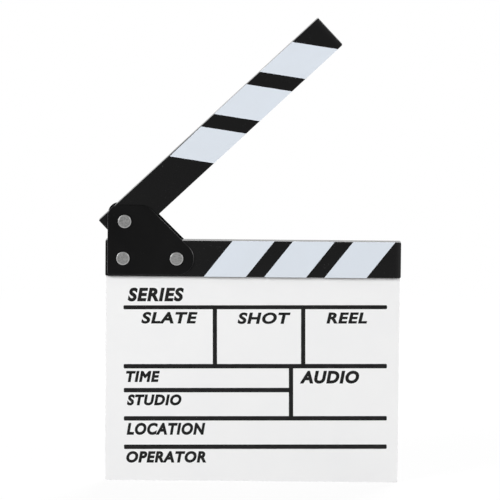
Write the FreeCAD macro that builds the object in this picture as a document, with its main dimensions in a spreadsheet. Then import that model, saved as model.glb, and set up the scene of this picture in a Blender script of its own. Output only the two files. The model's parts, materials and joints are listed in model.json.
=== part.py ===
"""A small wooden clapperboard, built as the bench assembly it is.

A white laminated board stands in a groove under the lower clap stick. Two steel
hinge plates are riveted to that stick, and the upper clap stick swings between
them on a sleeved pivot rivet.

Frame, in millimetres: +X to the right seen from the front, the front faces -Y,
+Z up. The origin is the middle of the board's bottom edge.
"""

import FreeCAD, Part
import os
import re
import Sketcher

doc = FreeCAD.newDocument("clapperboard")

# Driving dimensions, in millimetres and degrees
SIZES = [
    ("stick_length", "200", "length of the lower stick"),
    ("upper_overhang", "1.9", "closed upper stick past the lower stick's right end"),
    ("stick_height", "24.5", "height of each stick's face"),
    ("stick_thickness", "10", "thickness of the lower stick"),
    ("stick_edge_radius", "0.3", "rounding round the front and back face of a stick"),
    ("lower_corner_ease", "0.8", "lower stick's corners, rounder than its edges by this"),
    ("upper_corner_ease", "0.3", "upper stick's square corners, rounder than its edges by this"),
    ("board_side_inset", "0.6", "board's sides inside the lower stick's ends"),
    ("board_height", "140.4", "height of the board below the lower stick"),
    ("board_corner_radius", "1.2", "the board's two bottom corners"),
    ("core_thickness", "2.6", "hardboard core of the board"),
    ("film_thickness", "0.2", "laminate on each face of the core"),
    ("groove_web", "1.7", "wood between the groove and the fixing rivets' holes"),
    ("groove_side_gap", "0.05", "glue line on each side of the board's tongue"),
    ("groove_end_gap", "0.3", "room above the board's tongue"),
    ("closing_gap", "0.6", "gap between the sticks when they lie parallel"),
    ("heel_clearance", "0.3", "room under the upper stick's left end when it stands upright"),
    ("open_angle", "43.27", "opening of the sticks as stored"),
    ("pivot_inset", "12.9", "pivot from the lower stick's left end"),
    ("fixing_rivet_inset", "11.9", "left fixing rivet from the lower stick's left end"),
    ("fixing_rivet_spacing", "36.3", "from the left to the right fixing rivet"),
    ("plate_thickness", "1", "sheet steel of the hinge plates"),
    ("plate_side_margin", "1.4", "plate's left edge inside the lower stick's end"),
    ("plate_foot_margin", "1.15", "front plate's bottom edge above the lower stick's bottom"),
    ("plate_rise", "11", "front plate's top edge above the pivot"),
    ("rear_plate_lift", "0.7", "rear plate's outline above the front plate's, on the same rivets"),
    ("plate_tail_offset", "0.55", "middle of the tail's arc past the right fixing rivet"),
    ("plate_slope", "44.8", "angle of the plate's sloping edge to the sticks"),
    ("plate_heel_radius", "1", "plate's bottom left corner"),
    ("plate_crown_radius", "7.4", "plate's top left corner"),
    ("plate_shoulder_radius", "11", "plate's top right corner"),
    ("plate_edge_radius", "0.25", "rounding of the plate's cut edge"),
    ("rivet_shank_diameter", "5", "shank of every rivet"),
    ("rivet_clearance", "0.05", "radial room round a rivet's shank"),
    ("rivet_head_diameter", "9", "flat head at the front"),
    ("rivet_head_thickness", "1.2", "flat head at the front"),
    ("rivet_head_radius", "0.35", "rounding of the head's rim"),
    ("rivet_tail_diameter", "7.6", "rolled tail at the back"),
    ("rivet_tail_thickness", "1.2", "rolled tail at the back"),
    ("rivet_tail_radius", "0.5", "rounding of the tail's rim"),
    ("dimple_diameter", "3.4", "mouth of the dimple in the tail"),
    ("dimple_depth", "1.6", "depth of the dimple in the tail"),
    ("burr_diameter", "10", "washer under the tail"),
    ("burr_thickness", "0.8", "washer under the tail"),
    ("sleeve_wall", "1", "wall of the sleeve that the upper stick turns on"),
    ("running_clearance", "0.05", "room between the upper stick and what it turns on"),
    ("washer_diameter", "18", "friction washers beside the upper stick"),
    ("washer_thickness", "0.45", "friction washers beside the upper stick"),
    ("stripe_count", "3", "white bands on each stick"),
    ("stripe_thickness", "0.15", "white film of the bands"),
    ("stripe_gap", "12.45", "black face between two bands"),
    ("stripe_lean", "38.2", "lean of the bands from upright"),
    ("lower_stripe_start", "6.8", "first band of the lower stick from the plate's tail"),
    ("lower_stripe_inset", "4", "last band of the lower stick from its right end"),
    ("upper_stripe_start", "71.1", "first band of the upper stick from the pivot"),
    ("upper_stripe_inset", "4.2", "last band of the upper stick from its right end"),
    ("short_band_left", "0.65", "first upper band's outer end short of the stick's edge, at its left"),
    ("short_band_right", "0.25", "first upper band's outer end short of the stick's edge, at its right"),
    ("pin_count", "4", "panel pins along the groove"),
    ("pin_end_inset", "25.4", "first and last pin from the board's sides"),
    ("pin_diameter", "1.3", "panel pin's shank"),
    ("pin_head_diameter", "2.4", "panel pin's head, flush with the stick's back"),
    ("pin_head_thickness", "0.6", "panel pin's head"),
    ("pin_front_cover", "1.6", "wood left in front of a pin's point"),
    ("pin_clearance", "0.05", "room round a pin"),
]

sheet = doc.addObject("Spreadsheet::Sheet", "Sizes")
for row, (alias, value, meaning) in enumerate(SIZES, start=1):
    sheet.set(f"A{row}", alias)
    sheet.set(f"B{row}", value)
    sheet.set(f"C{row}", meaning)
    sheet.setAlias(f"B{row}", alias)
doc.recompute()

ALIASES = {alias for alias, value, meaning in SIZES}

# Formulas in the sheet's words, shared by pieces that fit each other
HALF_LENGTH = "(stick_length / 2)"
HALF_HEIGHT = "(stick_height / 2)"
HALF_THICKNESS = "(stick_thickness / 2)"
HALF_BOARD = f"({HALF_LENGTH} - board_side_inset)"
BOARD_THICKNESS = "(core_thickness + 2 * film_thickness)"
SHANK_HOLE = "(rivet_shank_diameter + 2 * rivet_clearance)"
GROOVE_DEPTH = f"({HALF_HEIGHT} - {SHANK_HOLE} / 2 - groove_web)"
BOARD_TOP = f"(board_height + {GROOVE_DEPTH} - groove_end_gap)"
PIN_LEVEL = f"((board_height + {BOARD_TOP}) / 2)"
PIN_HOLE = "(pin_diameter + 2 * pin_clearance)"
PIN_HEAD_HOLE = "(pin_head_diameter + 2 * pin_clearance)"
LOWER_STICK_LEVEL = f"(board_height + {HALF_HEIGHT})"
LOWER_STICK_TOP = "(board_height + stick_height)"
UPPER_THICKNESS = "(stick_thickness - 2 * washer_thickness - 2 * running_clearance)"
PIVOT_X = f"(pivot_inset - {HALF_LENGTH})"
PIVOT_LEVEL = f"({LOWER_STICK_TOP} + closing_gap + {HALF_HEIGHT})"
LEFT_RIVET_X = f"(fixing_rivet_inset - {HALF_LENGTH})"
RIGHT_RIVET_X = f"({LEFT_RIVET_X} + fixing_rivet_spacing)"
TAIL_RADIUS = f"({HALF_HEIGHT} - plate_foot_margin)"
TAIL_MIDDLE = f"({RIGHT_RIVET_X} + plate_tail_offset)"
PLATE_FACE = f"({HALF_THICKNESS} + plate_thickness)"
SLEEVE_DIAMETER = f"({SHANK_HOLE} + 2 * sleeve_wall)"
PIVOT_HOLE = f"({SLEEVE_DIAMETER} + 2 * running_clearance)"
WASHER_HOLE = f"({SLEEVE_DIAMETER} + 2 * rivet_clearance)"
FREE_END = "(stick_length - pivot_inset + upper_overhang)"
STRIPE_RUN = "(stick_height * tan(stripe_lean))"
STRIPE_GAPS = "(stripe_gap * (stripe_count - 1))"

MATCH = 1e-4


def bound(formula):
    """The formula with each word of the sheet pointed at its cell."""
    return re.sub(r"[a-z_]+", lambda word: f"Sizes.{word[0]}" if word[0] in ALIASES else word[0], formula)


def size(formula):
    """The formula's value with the sheet as it stands."""
    return float(sheet.evalExpression(bound(formula)))


def new_body(label):
    body = doc.addObject("PartDesign::Body", label)
    body.Label = label
    return body


def sketch_on(body, role, name, lift="0"):
    """A sketch on one of the body's own origin planes, lifted along its normal."""
    sketch = body.newObject("Sketcher::SketchObject", name)
    plane = next(feature for feature in body.Origin.OriginFeatures if feature.Role == role)
    sketch.AttachmentSupport = (plane, [""])
    sketch.MapMode = "FlatFace"
    sketch.setExpression("AttachmentOffset.Base.z", bound(lift))
    return sketch


def hold_point(sketch, line, end, across, up):
    """Tie one point of the sketch to a pair of formulas."""
    for kind, formula in (("DistanceX", across), ("DistanceY", up)):
        index = sketch.addConstraint(Sketcher.Constraint(kind, line, end, size(formula)))
        sketch.setExpression(f"Constraints[{index}]", bound(formula))


def polygon(sketch, corners):
    """A closed outline of straight sides through corners given as pairs of formulas."""
    points = [FreeCAD.Vector(size(across), size(up), 0) for across, up in corners]
    count = len(points)
    for index in range(count):
        sketch.addGeometry(Part.LineSegment(points[index], points[(index + 1) % count]))
    for index in range(count):
        sketch.addConstraint(Sketcher.Constraint("Coincident", index, 2, (index + 1) % count, 1))
    for index, (across, up) in enumerate(corners):
        hold_point(sketch, index, 1, across, up)


def circles(sketch, centres, diameter):
    """Equal circles round centres given as pairs of formulas."""
    normal = FreeCAD.Vector(0, 0, 1)
    for index, (across, up) in enumerate(centres):
        centre = FreeCAD.Vector(size(across), size(up), 0)
        sketch.addGeometry(Part.Circle(centre, normal, size(diameter) / 2))
        hold_point(sketch, index, 3, across, up)
        ring = sketch.addConstraint(Sketcher.Constraint("Diameter", index, size(diameter)))
        sketch.setExpression(f"Constraints[{ring}]", bound(diameter))


def rectangle(left, bottom, right, top):
    return [(left, bottom), (right, bottom), (right, top), (left, top)]


def pad(body, corners, thickness):
    """A flat piece of one outline, half its thickness to each side of its own XZ plane."""
    sketch = sketch_on(body, "XZ_Plane", "outline")
    polygon(sketch, corners)
    feature = body.newObject("PartDesign::Pad", "sheet_stock")
    feature.Profile = sketch
    feature.SideType = "Symmetric"
    feature.setExpression("Length", bound(thickness))
    doc.recompute()


def drill(body, centres, diameter, thickness):
    """Holes right through a piece of the given thickness."""
    before = body.Shape.Volume
    sketch = sketch_on(body, "XZ_Plane", "hole_centres")
    circles(sketch, centres, diameter)
    feature = body.newObject("PartDesign::Pocket", "holes")
    feature.Profile = sketch
    feature.SideType = "Symmetric"
    feature.setExpression("Length", bound(f"2 * {thickness}"))
    doc.recompute()
    check_cut(body, before)


def drill_from_back(body, centres, diameter, depth, thickness):
    """Blind holes from the back face of a piece of the given thickness."""
    before = body.Shape.Volume
    sketch = sketch_on(body, "XZ_Plane", "blind_hole_centres", f"-({thickness}) / 2")
    circles(sketch, centres, diameter)
    feature = body.newObject("PartDesign::Pocket", "blind_holes")
    feature.Profile = sketch
    feature.Reversed = True
    feature.setExpression("Length", bound(depth))
    doc.recompute()
    check_cut(body, before)


def check_cut(body, before):
    if body.Shape.Volume > before - MATCH:
        raise RuntimeError(f"{body.Label}: a cut removed nothing")


def fillet(body, names, radius):
    base = body.Tip
    feature = body.newObject("PartDesign::Fillet", "rounding")
    feature.Base = (base, names)
    feature.setExpression("Radius", bound(radius))
    doc.recompute()


def round_corner(body, corner, radius):
    """Round the edge that runs front to back at one corner of the outline."""
    across, up = size(corner[0]), size(corner[1])
    names = []
    for number, edge in enumerate(body.Tip.Shape.Edges, start=1):
        ends = [vertex.Point for vertex in edge.Vertexes]
        if all(abs(end.x - across) < MATCH and abs(end.z - up) < MATCH for end in ends):
            names.append(f"Edge{number}")
    fillet(body, names, radius)


def soften_faces(body, thickness, radius):
    """Round the outline of the front and the back face."""
    level = size(thickness) / 2
    names = []
    for number, edge in enumerate(body.Tip.Shape.Edges, start=1):
        box = edge.BoundBox
        if box.YLength < MATCH and abs(abs(box.YMin) - level) < MATCH:
            names.append(f"Edge{number}")
    fillet(body, names, radius)


def soften_rim(body, radius_at, level, radius):
    """Round the circular rim of a turned piece, found by its radius and level on Y."""
    names = []
    for number, edge in enumerate(body.Tip.Shape.Edges, start=1):
        box = edge.BoundBox
        if box.YLength < MATCH and abs(box.YMin - size(level)) < MATCH:
            if abs(box.XMax - size(radius_at)) < MATCH:
                names.append(f"Edge{number}")
    fillet(body, names, radius)


def turn(body, profile):
    """A round piece on the Y axis, from corners given as radius and place along Y."""
    sketch = sketch_on(body, "XY_Plane", "half_section")
    polygon(sketch, profile)
    feature = body.newObject("PartDesign::Revolution", "turned_stock")
    feature.Profile = sketch
    feature.ReferenceAxis = (sketch, ["V_Axis"])
    feature.Angle = 360
    doc.recompute()


def place(body, across, depth, up):
    body.setExpression("Placement.Base.x", bound(across))
    body.setExpression("Placement.Base.y", bound(depth))
    body.setExpression("Placement.Base.z", bound(up))


def place_on_pivot(body, depth):
    """Set a piece of the upper stick, drawn closed round the pivot, at the stored opening."""
    body.Placement = FreeCAD.Placement(FreeCAD.Vector(), FreeCAD.Rotation(FreeCAD.Vector(0, -1, 0), 1))
    body.setExpression("Placement.Rotation.Angle", bound("open_angle"))
    place(body, PIVOT_X, depth, PIVOT_LEVEL)


# Panel pins: their places along the groove, on the middle of the board's tongue
PIN_COUNT = int(size("pin_count"))
FIRST_PIN = f"(pin_end_inset - {HALF_BOARD})"
PIN_STEP = f"(-2 * {FIRST_PIN} / (pin_count - 1))"
PIN_PLACES = [f"({FIRST_PIN} + {PIN_STEP} * {index})" for index in range(PIN_COUNT)]


def make_board_layer(label, thickness, depth):
    """One layer of the board: its face below the stick and its tongue inside the groove."""
    body = new_body(label)
    outline = rectangle(f"-{HALF_BOARD}", "0", HALF_BOARD, BOARD_TOP)
    pad(body, outline, thickness)
    for corner in outline[:2]:
        round_corner(body, corner, "board_corner_radius")
    drill(body, [(across, PIN_LEVEL) for across in PIN_PLACES], PIN_HOLE, thickness)
    place(body, "0", depth, "0")


FILM_DEPTH = "((core_thickness + film_thickness) / 2)"
make_board_layer("board_core", "core_thickness", "0")
make_board_layer("front_film", "film_thickness", f"-{FILM_DEPTH}")
make_board_layer("back_film", "film_thickness", FILM_DEPTH)


def make_lower_stick():
    """The fixed clap stick: grooved below for the board, drilled for two rivets and the pins."""
    body = new_body("lower_stick")
    outline = rectangle(f"-{HALF_LENGTH}", f"-{HALF_HEIGHT}", HALF_LENGTH, HALF_HEIGHT)
    pad(body, outline, "stick_thickness")
    for corner in outline:
        round_corner(body, corner, "stick_edge_radius + lower_corner_ease")
    soften_faces(body, "stick_thickness", "stick_edge_radius")

    before = body.Shape.Volume
    groove = sketch_on(body, "YZ_Plane", "groove_section")
    half_width = f"({BOARD_THICKNESS} / 2 + groove_side_gap)"
    groove_end = f"({GROOVE_DEPTH} - {HALF_HEIGHT})"
    polygon(groove, rectangle(f"-{half_width}", f"-{HALF_HEIGHT}", half_width, groove_end))
    feature = body.newObject("PartDesign::Pocket", "groove")
    feature.Profile = groove
    feature.SideType = "Symmetric"
    feature.setExpression("Length", bound("2 * stick_length"))
    doc.recompute()
    check_cut(body, before)

    drill(body, [(LEFT_RIVET_X, "0"), (RIGHT_RIVET_X, "0")], SHANK_HOLE, "stick_thickness")
    pins = [(across, f"{PIN_LEVEL} - {LOWER_STICK_LEVEL}") for across in PIN_PLACES]
    pin_depth = "stick_thickness - pin_front_cover + pin_clearance"
    drill_from_back(body, pins, PIN_HOLE, pin_depth, "stick_thickness")
    drill_from_back(body, pins, PIN_HEAD_HOLE, "pin_head_thickness", "stick_thickness")
    place(body, "0", "0", LOWER_STICK_LEVEL)


make_lower_stick()


def make_upper_stick():
    """The swinging clap stick, drawn closed with the pivot at its own origin.

    The corner that would strike the lower stick is rounded off, so the stick opens
    until its square end lies along the lower stick.
    """
    body = new_body("upper_stick")
    heel = f"-({HALF_HEIGHT} + closing_gap - heel_clearance)"
    outline = rectangle(heel, f"-{HALF_HEIGHT}", FREE_END, HALF_HEIGHT)
    pad(body, outline, UPPER_THICKNESS)
    round_corner(body, outline[0], HALF_HEIGHT)
    for corner in outline[1:]:
        round_corner(body, corner, "stick_edge_radius + upper_corner_ease")
    soften_faces(body, UPPER_THICKNESS, "stick_edge_radius")
    drill(body, [("0", "0")], PIVOT_HOLE, UPPER_THICKNESS)
    place_on_pivot(body, "0")


make_upper_stick()

# White bands: cut flush with the sticks, and leaning so that they meet in chevrons when closed
STRIPE_COUNT = int(size("stripe_count"))
FLUSH_END = ("0", "0")
SHORT_END = ("short_band_right", "short_band_left")


def make_stripes(stick, first, last, side, first_end):
    """Equal bands from first to last on the meeting edge: the upper edge on side 1, the lower on side -1.

    The bands lean, so their far ends lie further left. The first one's far end stops
    short of the stick's edge by a length at its right and at its left corner.
    """
    band = f"(({last} - {first} - {STRIPE_GAPS}) / stripe_count)"
    bodies = []
    for index in range(STRIPE_COUNT):
        start = f"({first} + ({band} + stripe_gap) * {index})"
        end = f"({start} + {band})"
        outline = [(start, f"{side} * {HALF_HEIGHT}"), (end, f"{side} * {HALF_HEIGHT}")]
        for corner, short in zip((end, start), FLUSH_END if index else first_end):
            reach = f"(stick_height - {short})"
            outline.append((f"{corner} - {reach} * tan(stripe_lean)", f"{side} * ({HALF_HEIGHT} - {reach})"))
        body = new_body(f"{stick}_stripe_{index + 1}")
        pad(body, outline, "stripe_thickness")
        bodies.append(body)
    return bodies


LOWER_FIRST = f"({TAIL_MIDDLE} + {TAIL_RADIUS} + lower_stripe_start + {STRIPE_RUN})"
LOWER_LAST = f"({HALF_LENGTH} - lower_stripe_inset)"
for stripe in make_stripes("lower", LOWER_FIRST, LOWER_LAST, 1, FLUSH_END):
    place(stripe, "0", f"-({HALF_THICKNESS} + stripe_thickness / 2)", LOWER_STICK_LEVEL)

UPPER_LAST = f"({FREE_END} - upper_stripe_inset)"
for stripe in make_stripes("upper", "upper_stripe_start", UPPER_LAST, -1, SHORT_END):
    place_on_pivot(stripe, f"-({UPPER_THICKNESS} + stripe_thickness) / 2")


# Rivets: one is the pivot, and two fix the plates to the lower stick
RIVET_PLACES = [
    ("pivot", PIVOT_X, PIVOT_LEVEL),
    ("left_fixing", LEFT_RIVET_X, LOWER_STICK_LEVEL),
    ("right_fixing", RIGHT_RIVET_X, LOWER_STICK_LEVEL),
]


def make_hinge_plate(label, depth, lift):
    """A punched plate: its tail is an arc by the right fixing rivet, met by the sloping edge."""
    body = new_body(label)
    left = f"(plate_side_margin - {HALF_LENGTH})"
    bottom = f"(board_height + plate_foot_margin + {lift})"
    top = f"({PIVOT_LEVEL} + plate_rise + {lift})"
    tail = f"({TAIL_MIDDLE} + {TAIL_RADIUS} / tan(plate_slope / 2))"
    shoulder = f"({tail} - ({top} - {bottom}) / tan(plate_slope))"
    outline = [(left, bottom), (tail, bottom), (shoulder, top), (left, top)]
    pad(body, outline, "plate_thickness")
    radii = ["plate_heel_radius", TAIL_RADIUS, "plate_shoulder_radius", "plate_crown_radius"]
    for corner, radius in zip(outline, radii):
        round_corner(body, corner, radius)
    soften_faces(body, "plate_thickness", "plate_edge_radius")
    drill(body, [(across, up) for name, across, up in RIVET_PLACES], SHANK_HOLE, "plate_thickness")
    place(body, "0", depth, "0")


PLATE_DEPTH = f"({HALF_THICKNESS} + plate_thickness / 2)"
make_hinge_plate("front_hinge_plate", f"-{PLATE_DEPTH}", "0")
make_hinge_plate("rear_hinge_plate", PLATE_DEPTH, "rear_plate_lift")


def make_ring(label, hole, diameter, near, far, across, up):
    """A plain ring on the Y axis, from near to far along Y."""
    body = new_body(label)
    turn(body, rectangle(f"{hole} / 2", near, f"{diameter} / 2", far))
    place(body, across, "0", up)


def make_rivet(label, across, up):
    """A semi-tubular rivet as set: flat head in front, dimpled tail rolled over at the back."""
    body = new_body(label)
    head_front = f"-({PLATE_FACE} + rivet_head_thickness)"
    tail_seat = f"({PLATE_FACE} + burr_thickness)"
    tail_end = f"({tail_seat} + rivet_tail_thickness)"
    turn(body, [
        ("0", head_front),
        ("rivet_head_diameter / 2", head_front),
        ("rivet_head_diameter / 2", f"-{PLATE_FACE}"),
        ("rivet_shank_diameter / 2", f"-{PLATE_FACE}"),
        ("rivet_shank_diameter / 2", tail_seat),
        ("rivet_tail_diameter / 2", tail_seat),
        ("rivet_tail_diameter / 2", tail_end),
        ("dimple_diameter / 2", tail_end),
        ("0", f"{tail_end} - dimple_depth"),
    ])
    soften_rim(body, "rivet_head_diameter / 2", head_front, "rivet_head_radius")
    soften_rim(body, "rivet_tail_diameter / 2", tail_end, "rivet_tail_radius")
    place(body, across, "0", up)


for name, across, up in RIVET_PLACES:
    make_rivet(f"{name}_rivet", across, up)
    burr_far = f"({PLATE_FACE} + burr_thickness)"
    make_ring(f"{name}_burr", SHANK_HOLE, "burr_diameter", PLATE_FACE, burr_far, across, up)

# Pivot: the sleeve holds the plates apart, and a friction washer lies on each plate
WASHER_FACE = f"({HALF_THICKNESS} - washer_thickness)"
PIVOT_RINGS = [
    ("pivot_sleeve", SHANK_HOLE, SLEEVE_DIAMETER, f"-{HALF_THICKNESS}", HALF_THICKNESS),
    ("front_friction_washer", WASHER_HOLE, "washer_diameter", f"-{HALF_THICKNESS}", f"-{WASHER_FACE}"),
    ("rear_friction_washer", WASHER_HOLE, "washer_diameter", WASHER_FACE, HALF_THICKNESS),
]
for label, hole, diameter, near, far in PIVOT_RINGS:
    make_ring(label, hole, diameter, near, far, PIVOT_X, PIVOT_LEVEL)


def make_board_pin(label, across):
    """A panel pin driven from the back, through the board's tongue and into the front lip."""
    body = new_body(label)
    point = f"(pin_front_cover - {HALF_THICKNESS})"
    head_seat = f"({HALF_THICKNESS} - pin_head_thickness)"
    turn(body, [
        ("0", point),
        ("pin_diameter / 2", f"{point} + pin_diameter"),
        ("pin_diameter / 2", head_seat),
        ("pin_head_diameter / 2", head_seat),
        ("pin_head_diameter / 2", HALF_THICKNESS),
        ("0", HALF_THICKNESS),
    ])
    place(body, across, "0", PIN_LEVEL)


for index, across in enumerate(PIN_PLACES):
    make_board_pin(f"board_pin_{index + 1}", across)

# Every piece is checked before any is written
doc.recompute()
for item in doc.Objects:
    if "Invalid" in item.State or "Error" in item.State:
        raise RuntimeError(f"{item.Label}: {item.State}")

pieces = [item for item in doc.Objects if item.isDerivedFrom("PartDesign::Body")]
for piece in pieces:
    if piece.Shape.isNull() or not piece.Shape.isValid() or len(piece.Shape.Solids) != 1:
        raise RuntimeError(f"{piece.Label}: not one sound solid")

os.makedirs("parts", exist_ok=True)
for piece in pieces:
    piece.Shape.exportStep(f"parts/{piece.Label}.step")
    print(piece.Label, round(piece.Shape.Volume, 2))
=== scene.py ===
import json
import math

import bmesh
import bpy
import numpy as np
from mathutils import Matrix, Vector


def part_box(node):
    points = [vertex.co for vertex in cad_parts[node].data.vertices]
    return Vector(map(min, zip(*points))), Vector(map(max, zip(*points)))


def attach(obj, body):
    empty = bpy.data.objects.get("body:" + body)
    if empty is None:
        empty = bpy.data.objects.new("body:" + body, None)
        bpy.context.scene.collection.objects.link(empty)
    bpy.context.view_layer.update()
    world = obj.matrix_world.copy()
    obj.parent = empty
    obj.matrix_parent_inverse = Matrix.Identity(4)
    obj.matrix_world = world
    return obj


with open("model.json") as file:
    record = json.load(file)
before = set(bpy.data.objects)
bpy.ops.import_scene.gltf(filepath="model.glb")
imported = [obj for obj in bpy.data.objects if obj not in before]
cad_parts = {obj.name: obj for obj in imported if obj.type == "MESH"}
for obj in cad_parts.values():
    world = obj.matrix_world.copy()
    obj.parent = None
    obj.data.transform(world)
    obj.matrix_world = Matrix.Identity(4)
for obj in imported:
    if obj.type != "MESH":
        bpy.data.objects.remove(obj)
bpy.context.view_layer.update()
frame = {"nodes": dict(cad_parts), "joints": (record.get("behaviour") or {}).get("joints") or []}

# Board core: a sheet of brown hardboard, pressed from wood fibre and sawn to size. Its sawn edges stay
# bare and are darker at the two pressed skins. Its top edge stands in the groove of the lower stick.
MM = 0.001
FIBRE_PALE = (0.40, 0.275, 0.165, 1)
FIBRE_DARK = (0.20, 0.125, 0.070, 1)
FIBRE_TONES = (0.30, 0.70)
FIBRE_FINENESS, FIBRE_STRETCH = 2400.0, 6.0
FIBRE_DEPTH = 0.09 * MM
SKIN_BROWN = (0.13, 0.080, 0.048, 1)
SKIN_START, SKIN_END = 0.9 * MM, 1.3 * MM
SKIN_SHARE = 0.7
HARDBOARD_SHINE = 0.25
HARDBOARD_ROUGHNESS = (0.72, 0.92)
STREAK_LAYERS, STREAK_FADE = 5.0, 0.62
PORE_SCALE, PORE_LAYERS = 2.6, 2.0
PORE_RANGE = (0.60, 0.72)


def wire(tree, kind, inputs=None, **settings):
    """A shader node with those settings; each input is a value to set or another node's output to link."""
    made = tree.nodes.new("ShaderNode" + kind)
    for key, value in settings.items():
        setattr(made, key, value)
    for key, value in (inputs or {}).items():
        if isinstance(value, bpy.types.NodeSocket):
            tree.links.new(value, made.inputs[key])
        else:
            made.inputs[key].default_value = value
    return made.outputs


def calc(tree, operation, first, second=0.0):
    """One sum, product or other step on two values."""
    return wire(tree, "Math", {0: first, 1: second}, operation=operation)[0]


def product(tree, first, *others):
    """All these values, multiplied."""
    for other in others:
        first = calc(tree, "MULTIPLY", first, other)
    return first


def spread(tree, value, low, high, to_low=0.0, to_high=1.0):
    """The value's range low to high, carried to to_low to to_high and held at those ends."""
    ends = {"Value": value, "From Min": low, "From Max": high, "To Min": to_low, "To Max": to_high}
    return wire(tree, "MapRange", ends)[0]


def between(tree, share, first, second):
    """The colour that goes from first to second as share goes from 0 to 1."""
    return wire(tree, "Mix", {0: share, 6: first, 7: second}, data_type="RGBA")[2]


def noise(tree, place, scale, layers, fade=0.5, warp=0.0):
    """Noise of that scale with so many finer layers, each fainter by fade, on coordinates bent by warp."""
    takes = {"Vector": place, "Scale": scale, "Detail": layers, "Roughness": fade, "Distortion": warp}
    return wire(tree, "TexNoise", takes)[0]


def new_group(name, takes, gives):
    """An empty node group with those inputs, each with its kind, and those value outputs."""
    tree = bpy.data.node_groups.new(name, "ShaderNodeTree")
    for socket, kind in takes.items():
        tree.interface.new_socket(socket, in_out="INPUT", socket_type="NodeSocket" + kind)
    for socket in gives:
        tree.interface.new_socket(socket, in_out="OUTPUT", socket_type="NodeSocketFloat")
    return tree, tree.nodes.new("NodeGroupInput").outputs, tree.nodes.new("NodeGroupOutput").inputs


def effect(tree, group, **takes):
    """A shared effect group placed in a material with those inputs; gives its outputs."""
    return wire(tree, "Group", takes, node_tree=group)


def new_finish(name):
    """A material with its node tree, its shader, and the piece's own coordinates."""
    finish = bpy.data.materials.new(name)
    finish.use_nodes = True
    tree = finish.node_tree
    return finish, tree, tree.nodes["Principled BSDF"], wire(tree, "TexCoord")["Object"]


def feed(tree, shader, **sources):
    """Links each output to the shader's socket of that name, with spaces for underscores."""
    for socket, source in sources.items():
        tree.links.new(source, shader.inputs[socket.replace("_", " ")])


def relief(tree, height, depth):
    """A surface normal from a height pattern of that depth in metres."""
    return wire(tree, "Bump", {"Height": height, "Distance": depth, "Strength": 1.0})[0]


def dress(finish, *names):
    """Puts the finish on every face of these frame nodes."""
    for name in names:
        for held in frame["nodes"][name].material_slots:
            held.material = finish


def make_fibre_grain():
    """Streak is noise on coordinates squeezed along X by Stretch, and Pore the peaks of a finer one."""
    tree, takes, gives = new_group(
        "fibre_grain", {"Place": "Vector", "Fineness": "Float", "Stretch": "Float"}, ["Streak", "Pore"])
    along = calc(tree, "DIVIDE", takes["Fineness"], takes["Stretch"])
    scale = wire(tree, "CombineXYZ", {0: along, 1: takes["Fineness"], 2: takes["Fineness"]})[0]
    squeezed = wire(tree, "VectorMath", {0: takes["Place"], 1: scale}, operation="MULTIPLY")[0]
    pore = noise(tree, squeezed, PORE_SCALE, PORE_LAYERS)
    tree.links.new(noise(tree, squeezed, 1.0, STREAK_LAYERS, STREAK_FADE), gives["Streak"])
    tree.links.new(spread(tree, pore, *PORE_RANGE), gives["Pore"])
    return tree


fibre_grain = make_fibre_grain()
hardboard, tree, shader, place = new_finish("hardboard")
fibre = effect(tree, fibre_grain, Place=place, Fineness=FIBRE_FINENESS, Stretch=FIBRE_STRETCH)
depth_in = calc(tree, "ABSOLUTE", wire(tree, "SeparateXYZ", {0: place})[1])
skin = spread(tree, depth_in, SKIN_START, SKIN_END)
body_brown = between(tree, spread(tree, fibre["Streak"], *FIBRE_TONES), FIBRE_DARK, FIBRE_PALE)
shader.inputs["Specular IOR Level"].default_value = HARDBOARD_SHINE
feed(tree, shader,
     Base_Color=between(tree, product(tree, skin, SKIN_SHARE), body_brown, SKIN_BROWN),
     Roughness=spread(tree, fibre["Pore"], 0.0, 1.0, *HARDBOARD_ROUGHNESS),
     Normal=relief(tree, calc(tree, "SUBTRACT", fibre["Streak"], fibre["Pore"]), FIBRE_DEPTH))
dress(hardboard, "board_core")

# Writing faces: a white dry-wipe laminate film glued to each side of the core and cut flush with it. It
# has a slight orange peel, and wiping leaves it a little duller in broad patches.
LAMINATE_CLEAN = (0.845, 0.845, 0.845, 1)
LAMINATE_WIPED = (0.825, 0.826, 0.83, 1)
LAMINATE_SHINE = 0.4
LAMINATE_ROUGHNESS = (0.30, 0.42)
PEEL_FINENESS, PEEL_DEPTH = 900.0, 0.012 * MM
RIPPLE_LAYERS = 1.0
SWELL_FINENESS, SWELL_LAYERS, SWELL_SHARE = 0.17, 2.0, 0.55
SMUDGE_SCALE, SMUDGE_LAYERS, SMUDGE_WARP = 26.0, 4.0, 0.7
SMUDGE_RANGE = (0.32, 0.68)
SPECK_SCALE, SPECK_LAYERS = 1500.0, 1.0
SPECK_RANGE = (0.70, 0.78)
DUSTY_SCALE, DUSTY_LAYERS = 90.0, 2.0
DUSTY_RANGE = (0.48, 0.62)


def blend(tree, share, first, second):
    """The value that goes from first to second as share goes from 0 to 1."""
    return wire(tree, "Mix", {0: share, 2: first, 3: second})[0]


def make_coat_texture():
    """Ripple of a sprayed or rolled coat: fine noise with a broader swell under it."""
    tree, takes, gives = new_group("coat_texture", {"Place": "Vector", "Fineness": "Float"}, ["Height"])
    ripple = noise(tree, takes["Place"], takes["Fineness"], RIPPLE_LAYERS)
    swell = noise(tree, takes["Place"], product(tree, takes["Fineness"], SWELL_FINENESS), SWELL_LAYERS)
    tree.links.new(blend(tree, SWELL_SHARE, ripple, swell), gives["Height"])
    return tree


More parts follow.
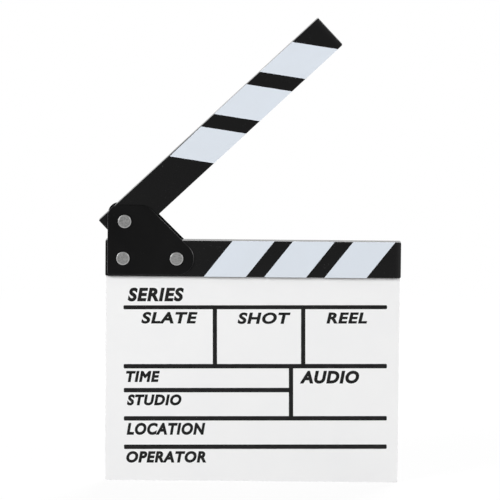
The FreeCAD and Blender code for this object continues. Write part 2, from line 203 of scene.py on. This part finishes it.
def make_handled():
    """What hands leave: broad smudges from warped noise, and dust specks where two noises peak together."""
    tree, takes, gives = new_group("handled", {"Place": "Vector"}, ["Smudge", "Dust"])
    smudge = noise(tree, takes["Place"], SMUDGE_SCALE, SMUDGE_LAYERS, warp=SMUDGE_WARP)
    speck = spread(tree, noise(tree, takes["Place"], SPECK_SCALE, SPECK_LAYERS), *SPECK_RANGE)
    dusty = spread(tree, noise(tree, takes["Place"], DUSTY_SCALE, DUSTY_LAYERS), *DUSTY_RANGE)
    tree.links.new(spread(tree, smudge, *SMUDGE_RANGE), gives["Smudge"])
    tree.links.new(product(tree, speck, dusty), gives["Dust"])
    return tree


coat_texture = make_coat_texture()
handled = make_handled()
laminate, tree, shader, place = new_finish("white_laminate")
peel = effect(tree, coat_texture, Place=place, Fineness=PEEL_FINENESS)["Height"]
wiped = effect(tree, handled, Place=place)["Smudge"]
shader.inputs["Specular IOR Level"].default_value = LAMINATE_SHINE
feed(tree, shader,
     Base_Color=between(tree, wiped, LAMINATE_CLEAN, LAMINATE_WIPED),
     Roughness=spread(tree, wiped, 0.0, 1.0, *LAMINATE_ROUGHNESS),
     Normal=relief(tree, peel, PEEL_DEPTH))
dress(laminate, "front_film", "back_film")

# Printed form: field lines in black ink, screen printed on the front film. The print stands about three
# hundredths of a millimetre proud, a little less on the upright lines, so that no two tops coincide, and
# lies turned by half a degree on the board.
FRONT_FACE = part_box("front_film")[0].y
PRINT_TURN = math.radians(0.53)
PRINT_MIDDLE = 71 * MM
INK_HEIGHT, INK_SUNK = 0.03 * MM, 0.01 * MM
INK_SHOULDER = 0.6
UPRIGHT_INK = 0.85
HEAD_LINE, FIELD_LINE, SPLIT_LINE = 2.75 * MM, 3.05 * MM, 2.9 * MM
LINE_CORNER, CORNER_POINTS = 0.75 * MM, 7
FORM_LEFT, FORM_RIGHT = -87.2 * MM, 91.5 * MM
LINE_HEIGHTS = np.array([119.35, 79.0, 62.6, 43.2, 23.65]) * MM
CELL_SPLITS = np.array([-25.25, 34.65]) * MM
SIDE_SPLIT = 26.4 * MM
INK_DENSE = (0.003, 0.003, 0.003, 1)
INK_THIN = (0.008, 0.008, 0.008, 1)
INK_SCALE, INK_LAYERS = 160.0, 3.0
INK_TONES, INK_DULLS = (0.35, 0.75), (0.3, 0.7)
INK_SHINE = 0.2
INK_ROUGHNESS = (0.38, 0.52)
MESH_FINENESS, MESH_DEPTH = 2600.0, 0.01 * MM


def on_board(points):
    """Points (across, up, out) of the flat print, turned about its middle and set on the front film."""
    across, up, out = np.moveaxis(np.asarray(points, float), -1, 0)
    rise = up - PRINT_MIDDLE
    cosine, sine = math.cos(PRINT_TURN), math.sin(PRINT_TURN)
    turned_across = across * cosine - rise * sine
    turned_up = PRINT_MIDDLE + across * sine + rise * cosine
    return np.stack([turned_across, FRONT_FACE - out, turned_up], -1)


def ink_lines(low, high, top):
    """Flat bars with rounded corners: four quarter circles set in from the corners low and high make each
    outline, carried from under the face up to top, with its last step drawn in as a soft shoulder."""
    quarter = np.linspace(0.0, 0.5 * np.pi, CORNER_POINTS)
    angle = (np.arange(4)[:, None] * 0.5 * np.pi + quarter).ravel()
    to_right = np.repeat([1.0, 0.0, 0.0, 1.0], CORNER_POINTS)
    to_top = np.repeat([1.0, 1.0, 0.0, 0.0], CORNER_POINTS)
    inner_low, inner_high = low + LINE_CORNER, high - LINE_CORNER
    outs = np.stack([np.full_like(top, -INK_SUNK), INK_SHOULDER * top, top], 1)
    draws = np.array([LINE_CORNER, LINE_CORNER, LINE_CORNER - INK_HEIGHT])
    shape = (len(low), draws.size, angle.size)
    across = inner_low[:, None, None, 0] + (inner_high - inner_low)[:, None, None, 0] * to_right
    up = inner_low[:, None, None, 1] + (inner_high - inner_low)[:, None, None, 1] * to_top
    across = across + draws[:, None] * np.cos(angle)
    up = up + draws[:, None] * np.sin(angle)
    points = np.stack([across, up, np.broadcast_to(outs[:, :, None], shape)], -1)
    index = np.arange(points[..., 0].size).reshape(shape)
    after = np.roll(index, -1, 2)
    walls = np.stack([index[:, :-1], after[:, :-1], after[:, 1:], index[:, 1:]], -1).reshape(-1, 4)
    faces = walls.tolist() + index[:, -1].tolist() + index[:, 0, ::-1].tolist()
    return points.reshape(-1, 3), faces


def add_piece(name, points, faces, finish, body):
    """A new piece with its place in its mesh, carried by that body, with that finish."""
    mesh = bpy.data.meshes.new(name)
    mesh.from_pydata(np.asarray(points).tolist(), [], faces)
    mesh.materials.append(finish)
    mesh.validate()
    piece = bpy.data.objects.new(name, mesh)
    bpy.context.scene.collection.objects.link(piece)
    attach(piece, body)
    return piece


head_line, cell_foot, short_line, side_foot, last_line = LINE_HEIGHTS
level_lines = [(FORM_LEFT, z, FORM_RIGHT, z) for z in (head_line, cell_foot, side_foot, last_line)]
level_lines.append((FORM_LEFT, short_line, SIDE_SPLIT, short_line))
upright_lines = [(x, cell_foot, x, head_line) for x in CELL_SPLITS]
upright_lines.append((SIDE_SPLIT, side_foot, SIDE_SPLIT, cell_foot))
runs = np.array(level_lines + upright_lines)
is_level = np.arange(len(runs)) < len(level_lines)
widths = np.where(is_level, np.where(runs[:, 1] == head_line, HEAD_LINE, FIELD_LINE), SPLIT_LINE)
reach = 0.5 * widths[:, None] * np.where(is_level[:, None], [0.0, 1.0], [1.0, 0.0])
ink_tops = np.where(is_level, INK_HEIGHT, UPRIGHT_INK * INK_HEIGHT)
line_points, line_faces = ink_lines(runs[:, :2] - reach, runs[:, 2:] + reach, ink_tops)

ink, tree, shader, place = new_finish("print_ink")
mesh_marks = effect(tree, coat_texture, Place=place, Fineness=MESH_FINENESS)["Height"]
thin_ink = noise(tree, place, INK_SCALE, INK_LAYERS)
shader.inputs["Specular IOR Level"].default_value = INK_SHINE
feed(tree, shader,
     Base_Color=between(tree, spread(tree, thin_ink, *INK_TONES), INK_DENSE, INK_THIN),
     Roughness=spread(tree, thin_ink, *INK_DULLS, *INK_ROUGHNESS),
     Normal=relief(tree, mesh_marks, MESH_DEPTH))
add_piece("form_lines", on_board(line_points), line_faces, ink, "slate")

# Field labels: plain slanted capitals in the same ink, one in each field of the form. They name what is
# written there by hand, in the trade's everyday words. Each row gives the word, its left end, its foot and
# its height in millimetres, how far it is drawn out sideways, and how bold it is.
LABEL_LEAN = 0.19
LABEL_SPACING = 1.13
LABEL_CURVE_STEPS = 5
LABEL_WELD = 0.0005 * MM
LABELS = (
    ("SERIES", -84.3, 123.45, 9.25, 1.0, 0.049),
    ("SLATE", -75.2, 108.25, 7.85, 1.2, 0.042),
    ("SHOT", -9.9, 107.95, 7.75, 1.2, 0.042),
    ("REEL", 50.4, 108.15, 7.6, 1.2, 0.042),
    ("TIME", -85.7, 68.15, 7.65, 0.98, 0.052),
    ("AUDIO", 32.3, 67.05, 8.75, 1.0, 0.052),
    ("STUDIO", -85.1, 52.15, 7.45, 0.98, 0.052),
    ("LOCATION", -85.4, 31.9, 8.2, 0.9, 0.052),
    ("OPERATOR", -85.7, 12.75, 7.85, 0.97, 0.052),
)


def word_mesh(word, weight):
    """Points and faces of the word's slanted letters, made bold by a bevel of that weight round their
    outline. The bevel is the depth's last part, from the ink's shoulder on; depth runs from -1 to 1."""
    letters = bpy.data.curves.new("letters", "FONT")
    letters.body = word
    letters.shear = LABEL_LEAN
    letters.space_character = LABEL_SPACING
    letters.bevel_depth = weight
    letters.extrude = weight * INK_SHOULDER / (1.0 - INK_SHOULDER)
    letters.resolution_u = LABEL_CURVE_STEPS
    depth = letters.extrude + letters.bevel_depth
    holder = bpy.data.objects.new("letters", letters)
    bpy.context.scene.collection.objects.link(holder)
    bpy.context.view_layer.update()
    flat = bpy.data.meshes.new_from_object(holder.evaluated_get(bpy.context.evaluated_depsgraph_get()))
    points = np.empty(len(flat.vertices) * 3)
    flat.vertices.foreach_get("co", points)
    faces = [list(face.vertices) for face in flat.polygons]
    bpy.data.objects.remove(holder)
    bpy.data.curves.remove(letters)
    bpy.data.meshes.remove(flat)
    return points.reshape(-1, 3) / [1.0, 1.0, depth], faces


label_points, label_faces, count = [], [], 0
for word, left, foot, height, drawn_out, weight in LABELS:
    letters, faces = word_mesh(word, weight)
    capital = word_mesh("H", weight)[0][:, 1]
    scale = height * MM / np.ptp(capital)
    letters = letters - [letters[:, 0].min(), capital.min(), 0.0]
    across = left * MM + letters[:, 0] * scale * drawn_out
    up = foot * MM + letters[:, 1] * scale
    out = np.where(letters[:, 2] > 0, INK_HEIGHT * letters[:, 2], INK_SUNK * letters[:, 2])
    label_points.append(np.stack([across, up, out], -1))
    label_faces += [[corner + count for corner in face] for face in faces]
    count += len(letters)
label_points = on_board(np.concatenate(label_points))
labels = add_piece("form_labels", label_points, label_faces, ink, "slate")
joined = bmesh.new()
joined.from_mesh(labels.data)
bmesh.ops.remove_doubles(joined, verts=joined.verts, dist=LABEL_WELD)
bmesh.ops.recalc_face_normals(joined, faces=joined.faces)
joined.to_mesh(labels.data)
joined.free()

# Lower stick: a planed softwood batten with eased edges, grooved below for the board and painted satin
# black. The grain still shows faintly through the paint, which is duller on the end grain that drinks it.
# Its eased edges are lighter in patches, partly rubbed and partly a painted highlight, and its free end is
# greyed by a painted highlight.
PAINT_BLACK = (0.0066, 0.0066, 0.0067, 1)
PAINT_EDGE_WEAR_AND_HIGHLIGHT = (0.040, 0.035, 0.030, 1)
PAINT_END_HIGHLIGHT = (0.024, 0.024, 0.0245, 1)
PAINT_EDGE_SHARE = 0.25
LOWER_END, UPPER_END = 100.0 * MM, 101.9 * MM
LOWER_END_HIGHLIGHT, UPPER_END_HIGHLIGHT = 1.0, 0.5
END_HIGHLIGHT_REACH = 4.3 * MM
PAINT_FINENESS, PAINT_SHARE = 1100.0, 0.35
PAINT_DEPTH = 0.035 * MM
PAINT_SHINE = 0.26
PAINT_ROUGHNESS, END_ROUGHNESS = (0.15, 0.22), 0.6
END_FACING = (0.80, 0.95)
GRAIN_FINENESS, GRAIN_STRETCH = 1000.0, 40.0
GRAIN_PORE_SHARE = 0.35
DUST_GREY = (0.12, 0.12, 0.12, 1)
DUST_SHARE = 0.3
FLAT_FACING, EASED_FACING = 0.985, 0.85
RUB_SCALE, RUB_LAYERS = 150.0, 4.0
RUB_RANGE = (0.40, 0.66)
ORIGIN = (0, 0, 0)


def along_stick(tree, vector, turn, centre=ORIGIN):
    """Coordinates or a direction, turned about the centre so that X runs along a stick at that angle."""
    takes = {"Vector": vector, "Center": centre, "Angle": turn}
    return wire(tree, "VectorRotate", takes, rotation_type="Y_AXIS")[0]


def make_eased_edge_mask():
    """Edge is 1 where the surface faces between two axes of Facing, as on an eased edge, and Patchy is that
    in patches of noise; they mark where edges get wear and painted highlight."""
    tree, takes, gives = new_group("eased_edge_mask", {"Facing": "Vector", "Place": "Vector"}, ["Edge", "Patchy"])
    bare = wire(tree, "VectorMath", {0: takes["Facing"]}, operation="ABSOLUTE")[0]
    x, y, z = wire(tree, "SeparateXYZ", {0: bare})
    most = calc(tree, "MAXIMUM", calc(tree, "MAXIMUM", x, y), z)
    eased = spread(tree, most, FLAT_FACING, EASED_FACING)
    patch = spread(tree, noise(tree, takes["Place"], RUB_SCALE, RUB_LAYERS), *RUB_RANGE)
    tree.links.new(eased, gives["Edge"])
    tree.links.new(product(tree, eased, patch), gives["Patchy"])
    return tree


eased_edge_mask = make_eased_edge_mask()


def stick_paint(name, free_end, end_highlight, turn=0.0, centre=ORIGIN):
    """Black paint on wood whose grain runs along a stick turned by that angle about the centre, its eased
    edges lighter from wear and a painted highlight, and its free end greyed by a painted highlight of that
    share."""
    finish, tree, shader, place = new_finish(name)
    along = along_stick(tree, place, turn, centre)
    facing = along_stick(tree, wire(tree, "TexCoord")["Normal"], turn)
    wood = effect(tree, fibre_grain, Place=along, Fineness=GRAIN_FINENESS, Stretch=GRAIN_STRETCH)
    coat = effect(tree, coat_texture, Place=place, Fineness=PAINT_FINENESS)["Height"]
    marks = effect(tree, handled, Place=place)
    patchy_edge = effect(tree, eased_edge_mask, Facing=facing, Place=place)["Patchy"]
    # Wear and painted highlight: the eased edges lighten to a brownish grey in patches, which stands partly
    # for the thin line of light they catch.
    edge_worn_and_lit = between(tree, product(tree, patchy_edge, PAINT_EDGE_SHARE), PAINT_BLACK, PAINT_EDGE_WEAR_AND_HIGHLIGHT)
    # Painted highlight: the last few millimetres up to the free end turn grey, standing in for the light
    # caught at the end.
    near_end = spread(tree, wire(tree, "SeparateXYZ", {0: along})[0], free_end - END_HIGHLIGHT_REACH, free_end)
    worn_and_lit = between(tree, product(tree, near_end, near_end, end_highlight), edge_worn_and_lit, PAINT_END_HIGHLIGHT)
    ridges = calc(tree, "SUBTRACT", wood["Streak"], product(tree, wood["Pore"], GRAIN_PORE_SHARE))
    end_on = calc(tree, "ABSOLUTE", wire(tree, "SeparateXYZ", {0: facing})[0])
    satin = spread(tree, marks["Smudge"], 0.0, 1.0, *PAINT_ROUGHNESS)
    shader.inputs["Specular IOR Level"].default_value = PAINT_SHINE
    feed(tree, shader,
         Base_Color=between(tree, product(tree, marks["Dust"], DUST_SHARE), worn_and_lit, DUST_GREY),
         Roughness=blend(tree, spread(tree, end_on, *END_FACING), satin, END_ROUGHNESS),
         Normal=relief(tree, blend(tree, PAINT_SHARE, ridges, coat), PAINT_DEPTH))
    return finish


dress(stick_paint("lower_stick_paint", LOWER_END, LOWER_END_HIGHLIGHT), "lower_stick")

# Stripes: slanted bands of cool white film stuck on the front of both sticks and cut flush with them, the
# lowest upper one a hair short. The wood's grain shows faintly through, and the film is a little soiled.
STRIPE_WHITE = (0.664, 0.714, 0.778, 1)
STRIPE_SOILED = (0.623, 0.662, 0.715, 1)
STRIPE_SMUDGE_SHARE = 0.5
STRIPE_SHINE = 0.4
STRIPE_ROUGHNESS = (0.34, 0.46)
STRIPE_DEPTH = 0.012 * MM
OPEN_TURN = math.radians(43.27)
PIVOT = tuple(frame["joints"][0]["pos_m"])


def stripe_film(name, turn=0.0, centre=ORIGIN):
    """White film over the grain of a stick turned by that angle about the centre."""
    finish, tree, shader, place = new_finish(name)
    along = along_stick(tree, place, turn, centre)
    wood = effect(tree, fibre_grain, Place=along, Fineness=GRAIN_FINENESS, Stretch=GRAIN_STRETCH)
    marks = effect(tree, handled, Place=place)
    soiled = calc(tree, "MAXIMUM", product(tree, marks["Smudge"], STRIPE_SMUDGE_SHARE), marks["Dust"])
    shader.inputs["Specular IOR Level"].default_value = STRIPE_SHINE
    feed(tree, shader,
         Base_Color=between(tree, soiled, STRIPE_WHITE, STRIPE_SOILED),
         Roughness=spread(tree, marks["Smudge"], 0.0, 1.0, *STRIPE_ROUGHNESS),
         Normal=relief(tree, wood["Streak"], STRIPE_DEPTH))
    return finish


lower_film = stripe_film("lower_stripe_film")
upper_film = stripe_film("upper_stripe_film", OPEN_TURN, PIVOT)
dress(lower_film, "lower_stripe_1", "lower_stripe_2", "lower_stripe_3")
dress(upper_film, "upper_stripe_1", "upper_stripe_2", "upper_stripe_3")

# Board pins: thin wire nails driven from the back through the stick and the board's tongue. Bright drawn
# steel with a stamped head.
PIN_BRIGHT = (0.46, 0.46, 0.47, 1)
PIN_DULL = (0.28, 0.27, 0.265, 1)
PIN_TONES, PIN_DULLS = (0.35, 0.65), (0.3, 0.7)
PIN_ROUGHNESS = (0.30, 0.48)
DRAWN_FINENESS, DRAWN_STRETCH = 5200.0, 3.0
DRAWN_DEPTH = 0.02 * MM
pin_steel, tree, shader, place = new_finish("pin_steel")
drawn = effect(tree, fibre_grain, Place=place, Fineness=DRAWN_FINENESS, Stretch=DRAWN_STRETCH)["Streak"]
shader.inputs["Metallic"].default_value = 1.0
feed(tree, shader,
     Base_Color=between(tree, spread(tree, drawn, *PIN_TONES), PIN_DULL, PIN_BRIGHT),
     Roughness=spread(tree, drawn, *PIN_DULLS, *PIN_ROUGHNESS),
     Normal=relief(tree, drawn, DRAWN_DEPTH))
dress(pin_steel, "board_pin_1", "board_pin_2", "board_pin_3", "board_pin_4")

# Hinge plates: a pair of blanked sheet steel plates, tumbled so that their edges are just broken, and
# coated in fine satin black powder. Their outer edges carry a dull grey that is partly wear and partly a
# painted highlight: least along the top, the foot and the front plate's shoulder, and most on its tail.
POWDER_BLACK = (0.0008, 0.0008, 0.0009, 1)
POWDER_EDGE_HIGHLIGHT = (0.25, 0.25, 0.255, 1)
POWDER_FINENESS, POWDER_DEPTH = 2300.0, 0.022 * MM
POWDER_SHINE = 0.14
POWDER_ROUGHNESS = (0.38, 0.50)
INNER_EDGE, OUTER_EDGE = 5.4 * MM, 5.7 * MM
TOP_FACING, FOOT_FACING = (0.45, 0.95), (-0.5, 0.0)
TAIL_HIGHLIGHT_SPOT = (-0.0413, -0.0060, 0.1575)
TAIL_HIGHLIGHT_REACH = (1.0 * MM, 3.6 * MM)
SHOULDER_SPOT = (-0.0700, -0.0060, 0.1865)
SHOULDER_REACH = (5.0 * MM, 16.0 * MM)
FOOT_HIGHLIGHT, SHOULDER_HIGHLIGHT = 0.25, 0.45
TAIL_HIGHLIGHT, EDGE_HIGHLIGHT = 1.5, 0.38


def distance_from(tree, place, spot):
    """How far the place is from the spot, in metres."""
    return wire(tree, "VectorMath", {0: place, 1: spot}, operation="DISTANCE")["Value"]


powder, tree, shader, place = new_finish("black_powder_coat")
grit = effect(tree, coat_texture, Place=place, Fineness=POWDER_FINENESS)["Height"]
marks = effect(tree, handled, Place=place)
_, facing_out, facing_up = wire(tree, "SeparateXYZ", {0: wire(tree, "TexCoord")["Normal"]})
facing_aside = calc(tree, "SQRT", calc(tree, "SUBTRACT", 1.0, product(tree, facing_out, facing_out)))
facing = wire(tree, "CombineXYZ", {0: facing_aside, 1: facing_out})[0]
edge_masks = effect(tree, eased_edge_mask, Facing=facing, Place=place)
out_from_middle = calc(tree, "ABSOLUTE", wire(tree, "SeparateXYZ", {0: place})[1])
outer = spread(tree, out_from_middle, INNER_EDGE, OUTER_EDGE)
up_share = calc(tree, "DIVIDE", facing_up, facing_aside)
top_unlit = spread(tree, up_share, *TOP_FACING, 1.0, 0.0)
foot_dim = spread(tree, up_share, *FOOT_FACING, FOOT_HIGHLIGHT, 1.0)
from_shoulder = distance_from(tree, place, SHOULDER_SPOT)
shoulder_dim = spread(tree, from_shoulder, *SHOULDER_REACH, SHOULDER_HIGHLIGHT, 1.0)
tail_lit = spread(tree, distance_from(tree, place, TAIL_HIGHLIGHT_SPOT), *TAIL_HIGHLIGHT_REACH, TAIL_HIGHLIGHT, EDGE_HIGHLIGHT)
edge = calc(tree, "ADD", edge_masks["Edge"], edge_masks["Patchy"])
# Painted highlight with some wear: the grey on the outer edges stands in for the light their broken edges
# catch. It is faded on edges facing up or down and near the shoulder, where less light falls, and strongest
# on the tail.
edge_highlight_and_wear = product(tree, edge, outer, top_unlit, foot_dim, shoulder_dim, tail_lit)
worn_and_lit = between(tree, edge_highlight_and_wear, POWDER_BLACK, POWDER_EDGE_HIGHLIGHT)
shader.inputs["Specular IOR Level"].default_value = POWDER_SHINE
feed(tree, shader,
     Base_Color=between(tree, product(tree, marks["Dust"], DUST_SHARE), worn_and_lit, DUST_GREY),
     Roughness=spread(tree, marks["Smudge"], 0.0, 1.0, *POWDER_ROUGHNESS),
     Normal=relief(tree, grit, POWDER_DEPTH))
dress(powder, "front_hinge_plate", "rear_hinge_plate")

# Pivot sleeve and friction washers: a turned brass spacer on the pivot rivet, and two thin black nylon
# washers that grip the upper stick between the plates. Both keep the fine rings of the lathe.
BRASS_BRIGHT = (0.62, 0.46, 0.20, 1)
BRASS_DULL = (0.40, 0.27, 0.11, 1)
BRASS_ROUGHNESS = (0.28, 0.45)
BRASS_RINGS = 30000.0
NYLON_BLACK = (0.022, 0.022, 0.023, 1)
NYLON_SCUFFED = (0.055, 0.055, 0.055, 1)
NYLON_ROUGHNESS = (0.50, 0.68)
NYLON_RINGS = 22000.0
NYLON_SHINE = 0.3
RING_SCALE, RING_LAYERS = 700.0, 3.0
RING_RANGE = (0.0, 0.8)
RING_DEPTH = 0.01 * MM


def make_turned_marks():
    """Rings about the Y axis through Place's origin: a sine of the radius, broken up by noise."""
    tree, takes, gives = new_group(
        "turned_marks", {"Place": "Vector", "Fineness": "Float"}, ["Ring", "Radius"])
    x, _, z = wire(tree, "SeparateXYZ", {0: takes["Place"]})
    aside = wire(tree, "CombineXYZ", {0: x, 2: z})[0]
    radius = wire(tree, "VectorMath", {0: aside}, operation="LENGTH")["Value"]
    wave = calc(tree, "SINE", product(tree, radius, takes["Fineness"]))
    broken = noise(tree, takes["Place"], RING_SCALE, RING_LAYERS)
    tree.links.new(product(tree, spread(tree, wave, -1.0, 1.0), broken), gives["Ring"])
    tree.links.new(radius, gives["Radius"])
    return tree


def centred(tree, place, centre):
    """The coordinates, measured from the centre."""
    return wire(tree, "VectorMath", {0: place, 1: centre}, operation="SUBTRACT")[0]


turned_marks = make_turned_marks()
brass, tree, shader, place = new_finish("sleeve_brass")
ring = effect(tree, turned_marks, Place=centred(tree, place, PIVOT), Fineness=BRASS_RINGS)["Ring"]
shader.inputs["Metallic"].default_value = 1.0
feed(tree, shader,
     Base_Color=between(tree, ring, BRASS_BRIGHT, BRASS_DULL),
     Roughness=spread(tree, ring, *RING_RANGE, *BRASS_ROUGHNESS),
     Normal=relief(tree, ring, RING_DEPTH))
dress(brass, "pivot_sleeve")
nylon, tree, shader, place = new_finish("washer_nylon")
ring = effect(tree, turned_marks, Place=centred(tree, place, PIVOT), Fineness=NYLON_RINGS)["Ring"]
shader.inputs["Specular IOR Level"].default_value = NYLON_SHINE
feed(tree, shader,
     Base_Color=between(tree, ring, NYLON_BLACK, NYLON_SCUFFED),
     Roughness=spread(tree, ring, *RING_RANGE, *NYLON_ROUGHNESS),
     Normal=relief(tree, ring, RING_DEPTH))
dress(nylon, "front_friction_washer", "rear_friction_washer")

# Upper stick: the same painted batten as the lower one, hung between the hinge plates and held open here.
# Its grain runs along it, so the paint's pattern is turned with it about the pivot.
dress(stick_paint("upper_stick_paint", UPPER_END, UPPER_END_HIGHLIGHT, OPEN_TURN, PIVOT), "upper_stick")

# Rivets: flat headed aluminium rivets through both plates, set at the back over a loose washer (burr).
# Tumbled dull grey, with fine turning rings and small dents, and a lighter ring near the rim painted as a
# highlight.
RIVET_GREY = (0.32, 0.32, 0.315, 1)
RIVET_DARK = (0.20, 0.20, 0.20, 1)
RIVET_RIM_HIGHLIGHT = (0.62, 0.62, 0.615, 1)
RIVET_ROUGHNESS, RIM_ROUGHNESS = 0.50, 0.34
RIVET_RINGS, RIVET_RING_SHARE = 18000.0, 0.4
RIVET_DEPTH = 0.03 * MM
RIM_START, RIM_END = 3.6 * MM, 4.05 * MM
RIM_HIGHLIGHT_SHARE = 0.8
DENT_SCALE, DENT_LAYERS = 900.0, 3.0
DENT_RANGE = (0.40, 0.70)


def rivet_metal(name, node):
    """Dull aluminium with its rings about the rivet's own axis."""
    finish, tree, shader, place = new_finish(name)
    low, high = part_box(node)
    on_axis = centred(tree, place, (low + high) / 2)
    turned = effect(tree, turned_marks, Place=on_axis, Fineness=RIVET_RINGS)
    dents = noise(tree, place, DENT_SCALE, DENT_LAYERS)
    dull = between(tree, spread(tree, dents, *DENT_RANGE), RIVET_GREY, RIVET_DARK)
    # Painted highlight: a lighter, less rough ring near the rim of each head and burr stands in for the
    # light caught by the rounded rim.
    rim = spread(tree, turned["Radius"], RIM_START, RIM_END)
    shader.inputs["Metallic"].default_value = 1.0
    feed(tree, shader,
         Base_Color=between(tree, product(tree, rim, RIM_HIGHLIGHT_SHARE), dull, RIVET_RIM_HIGHLIGHT),
         Roughness=spread(tree, rim, 0.0, 1.0, RIVET_ROUGHNESS, RIM_ROUGHNESS),
         Normal=relief(tree, blend(tree, RIVET_RING_SHARE, dents, turned["Ring"]), RIVET_DEPTH))
    return finish


for spot in ("pivot", "left_fixing", "right_fixing"):
    aluminium = rivet_metal(spot + "_aluminium", spot + "_rivet")
    dress(aluminium, spot + "_rivet", spot + "_burr")

# Stand and light: a plain white floor under three soft lamps, one at either side in front, the stronger on
# the left, and one behind. The floor and the sky are white where they are seen; as mirrored they are white
# behind the object and dim in front, where the room is.
FLOOR_REACH, FLOOR_POINTS = 12.0, 96
# The floor's paint as it is seen, and the greyer one by which it lights the object.
FLOOR_WHITE = (0.95, 0.95, 0.95, 1)
FLOOR_BOUNCE = (0.22, 0.22, 0.22, 1)
GLOW_WHITE = (1, 1, 1, 1)
SHADOW_NEAR, SHADOW_FAR = 0.3, 1.0
GLOW_SHARE = 0.90
SKY_STRENGTH = 0.32
ROOM_DIM = 0.24
ROOM_START, ROOM_END = -0.9, -0.3
ROOM_SKY = 0.3
OBJECT_MIDDLE = Vector((0.0, 0.0, 0.16))
LAMPS = (
    ("main_lamp", (-1.9, -1.9, 1.0), 1.3, 65.0),
    ("side_lamp", (2.0, -2.0, 0.9), 1.3, 33.0),
    ("back_lamp", (0.5, 1.7, 1.6), 1.3, 42.0),
)


def stage_glow(tree, start, end):
    """Two values: 1 on rays that see or mirror the stage and 0 on rays that carry light, and how white the
    stage is: 1 to the camera, and in mirrors from the dim room at start, in front, up to 1 at end."""
    path = wire(tree, "LightPath")
    plain = calc(tree, "MAXIMUM", path["Is Camera Ray"], path["Is Transmission Ray"])
    backward = wire(tree, "SeparateXYZ", {0: wire(tree, "TexCoord")["Object"]})[1]
    white = calc(tree, "MAXIMUM", plain, spread(tree, backward, start, end, ROOM_DIM))
    return calc(tree, "MAXIMUM", plain, path["Is Glossy Ray"]), white


turn = np.linspace(0.0, 2 * np.pi, FLOOR_POINTS, endpoint=False)
rim = np.stack([FLOOR_REACH * np.cos(turn), FLOOR_REACH * np.sin(turn), np.zeros_like(turn)], -1)
floor_mesh = bpy.data.meshes.new("floor")
floor_mesh.from_pydata(rim.tolist(), [], [list(range(FLOOR_POINTS))])
floor = bpy.data.objects.new("floor", floor_mesh)
bpy.context.scene.collection.objects.link(floor)
floor_paint = bpy.data.materials.new("floor_paint")
floor_paint.use_nodes = True
tree = floor_paint.node_tree
tree.nodes.remove(tree.nodes["Principled BSDF"])
seen, white = stage_glow(tree, ROOM_START, ROOM_END)
lit = wire(tree, "BsdfDiffuse", {"Color": between(tree, seen, FLOOR_BOUNCE, FLOOR_WHITE)})[0]
glow = wire(tree, "Emission", {"Color": GLOW_WHITE, "Strength": white})[0]
distance = wire(tree, "VectorMath", {0: wire(tree, "TexCoord")["Object"]}, operation="LENGTH")["Value"]
share = product(tree, seen, spread(tree, distance, SHADOW_NEAR, SHADOW_FAR, GLOW_SHARE))
mixed = wire(tree, "MixShader", {0: share, 1: lit, 2: glow})[0]
tree.links.new(mixed, tree.nodes["Material Output"].inputs["Surface"])
floor_mesh.materials.append(floor_paint)

sky = bpy.data.worlds.new("sky")
sky.use_nodes = True
bpy.context.scene.world = sky
tree = sky.node_tree
background = tree.nodes["Background"]
background.inputs["Color"].default_value = GLOW_WHITE
seen, white = stage_glow(tree, -ROOM_SKY, ROOM_SKY)
feed(tree, background, Strength=blend(tree, seen, SKY_STRENGTH, white))

for name, spot, width, power in LAMPS:
    lamp = bpy.data.lights.new(name, "AREA")
    lamp.shape = "DISK"
    lamp.size = width
    lamp.energy = power
    holder = bpy.data.objects.new(name, lamp)
    bpy.context.scene.collection.objects.link(holder)
    holder.location = spot
    holder.rotation_euler = (OBJECT_MIDDLE - Vector(spot)).to_track_quat("-Z", "Y").to_euler()
bpy.context.scene.view_settings.view_transform = "Standard"

# Camera: a long lens far in front of the board, seven degrees above level and rolled by half a degree. It
# is aimed and set so that a metre at the board spans a given number of pixels.
CAMERA_AIM = Vector((-0.00220, 0.00015, 0.15823))
CAMERA_DISTANCE = 3.5
CAMERA_RISE = math.radians(7.0)
CAMERA_ROLL = math.radians(0.4955)
CAMERA_FAR_LIMIT = 100.0
SENSOR_WIDTH = 36.0
IMAGE_WIDTH = 500
PIXELS_PER_METRE = 1476.5
lens = bpy.data.cameras.new("camera")
lens.sensor_width = SENSOR_WIDTH
lens.lens = SENSOR_WIDTH * CAMERA_DISTANCE * PIXELS_PER_METRE / IMAGE_WIDTH
lens.clip_end = CAMERA_FAR_LIMIT
camera = bpy.data.objects.new("camera", lens)
bpy.context.scene.collection.objects.link(camera)
back = Vector((0.0, -math.cos(CAMERA_RISE), math.sin(CAMERA_RISE)))
tilt = Matrix.Rotation(0.5 * math.pi - CAMERA_RISE, 4, "X") @ Matrix.Rotation(CAMERA_ROLL, 4, "Z")
camera.matrix_world = Matrix.Translation(CAMERA_AIM + back * CAMERA_DISTANCE) @ tilt
bpy.context.scene.camera = camera
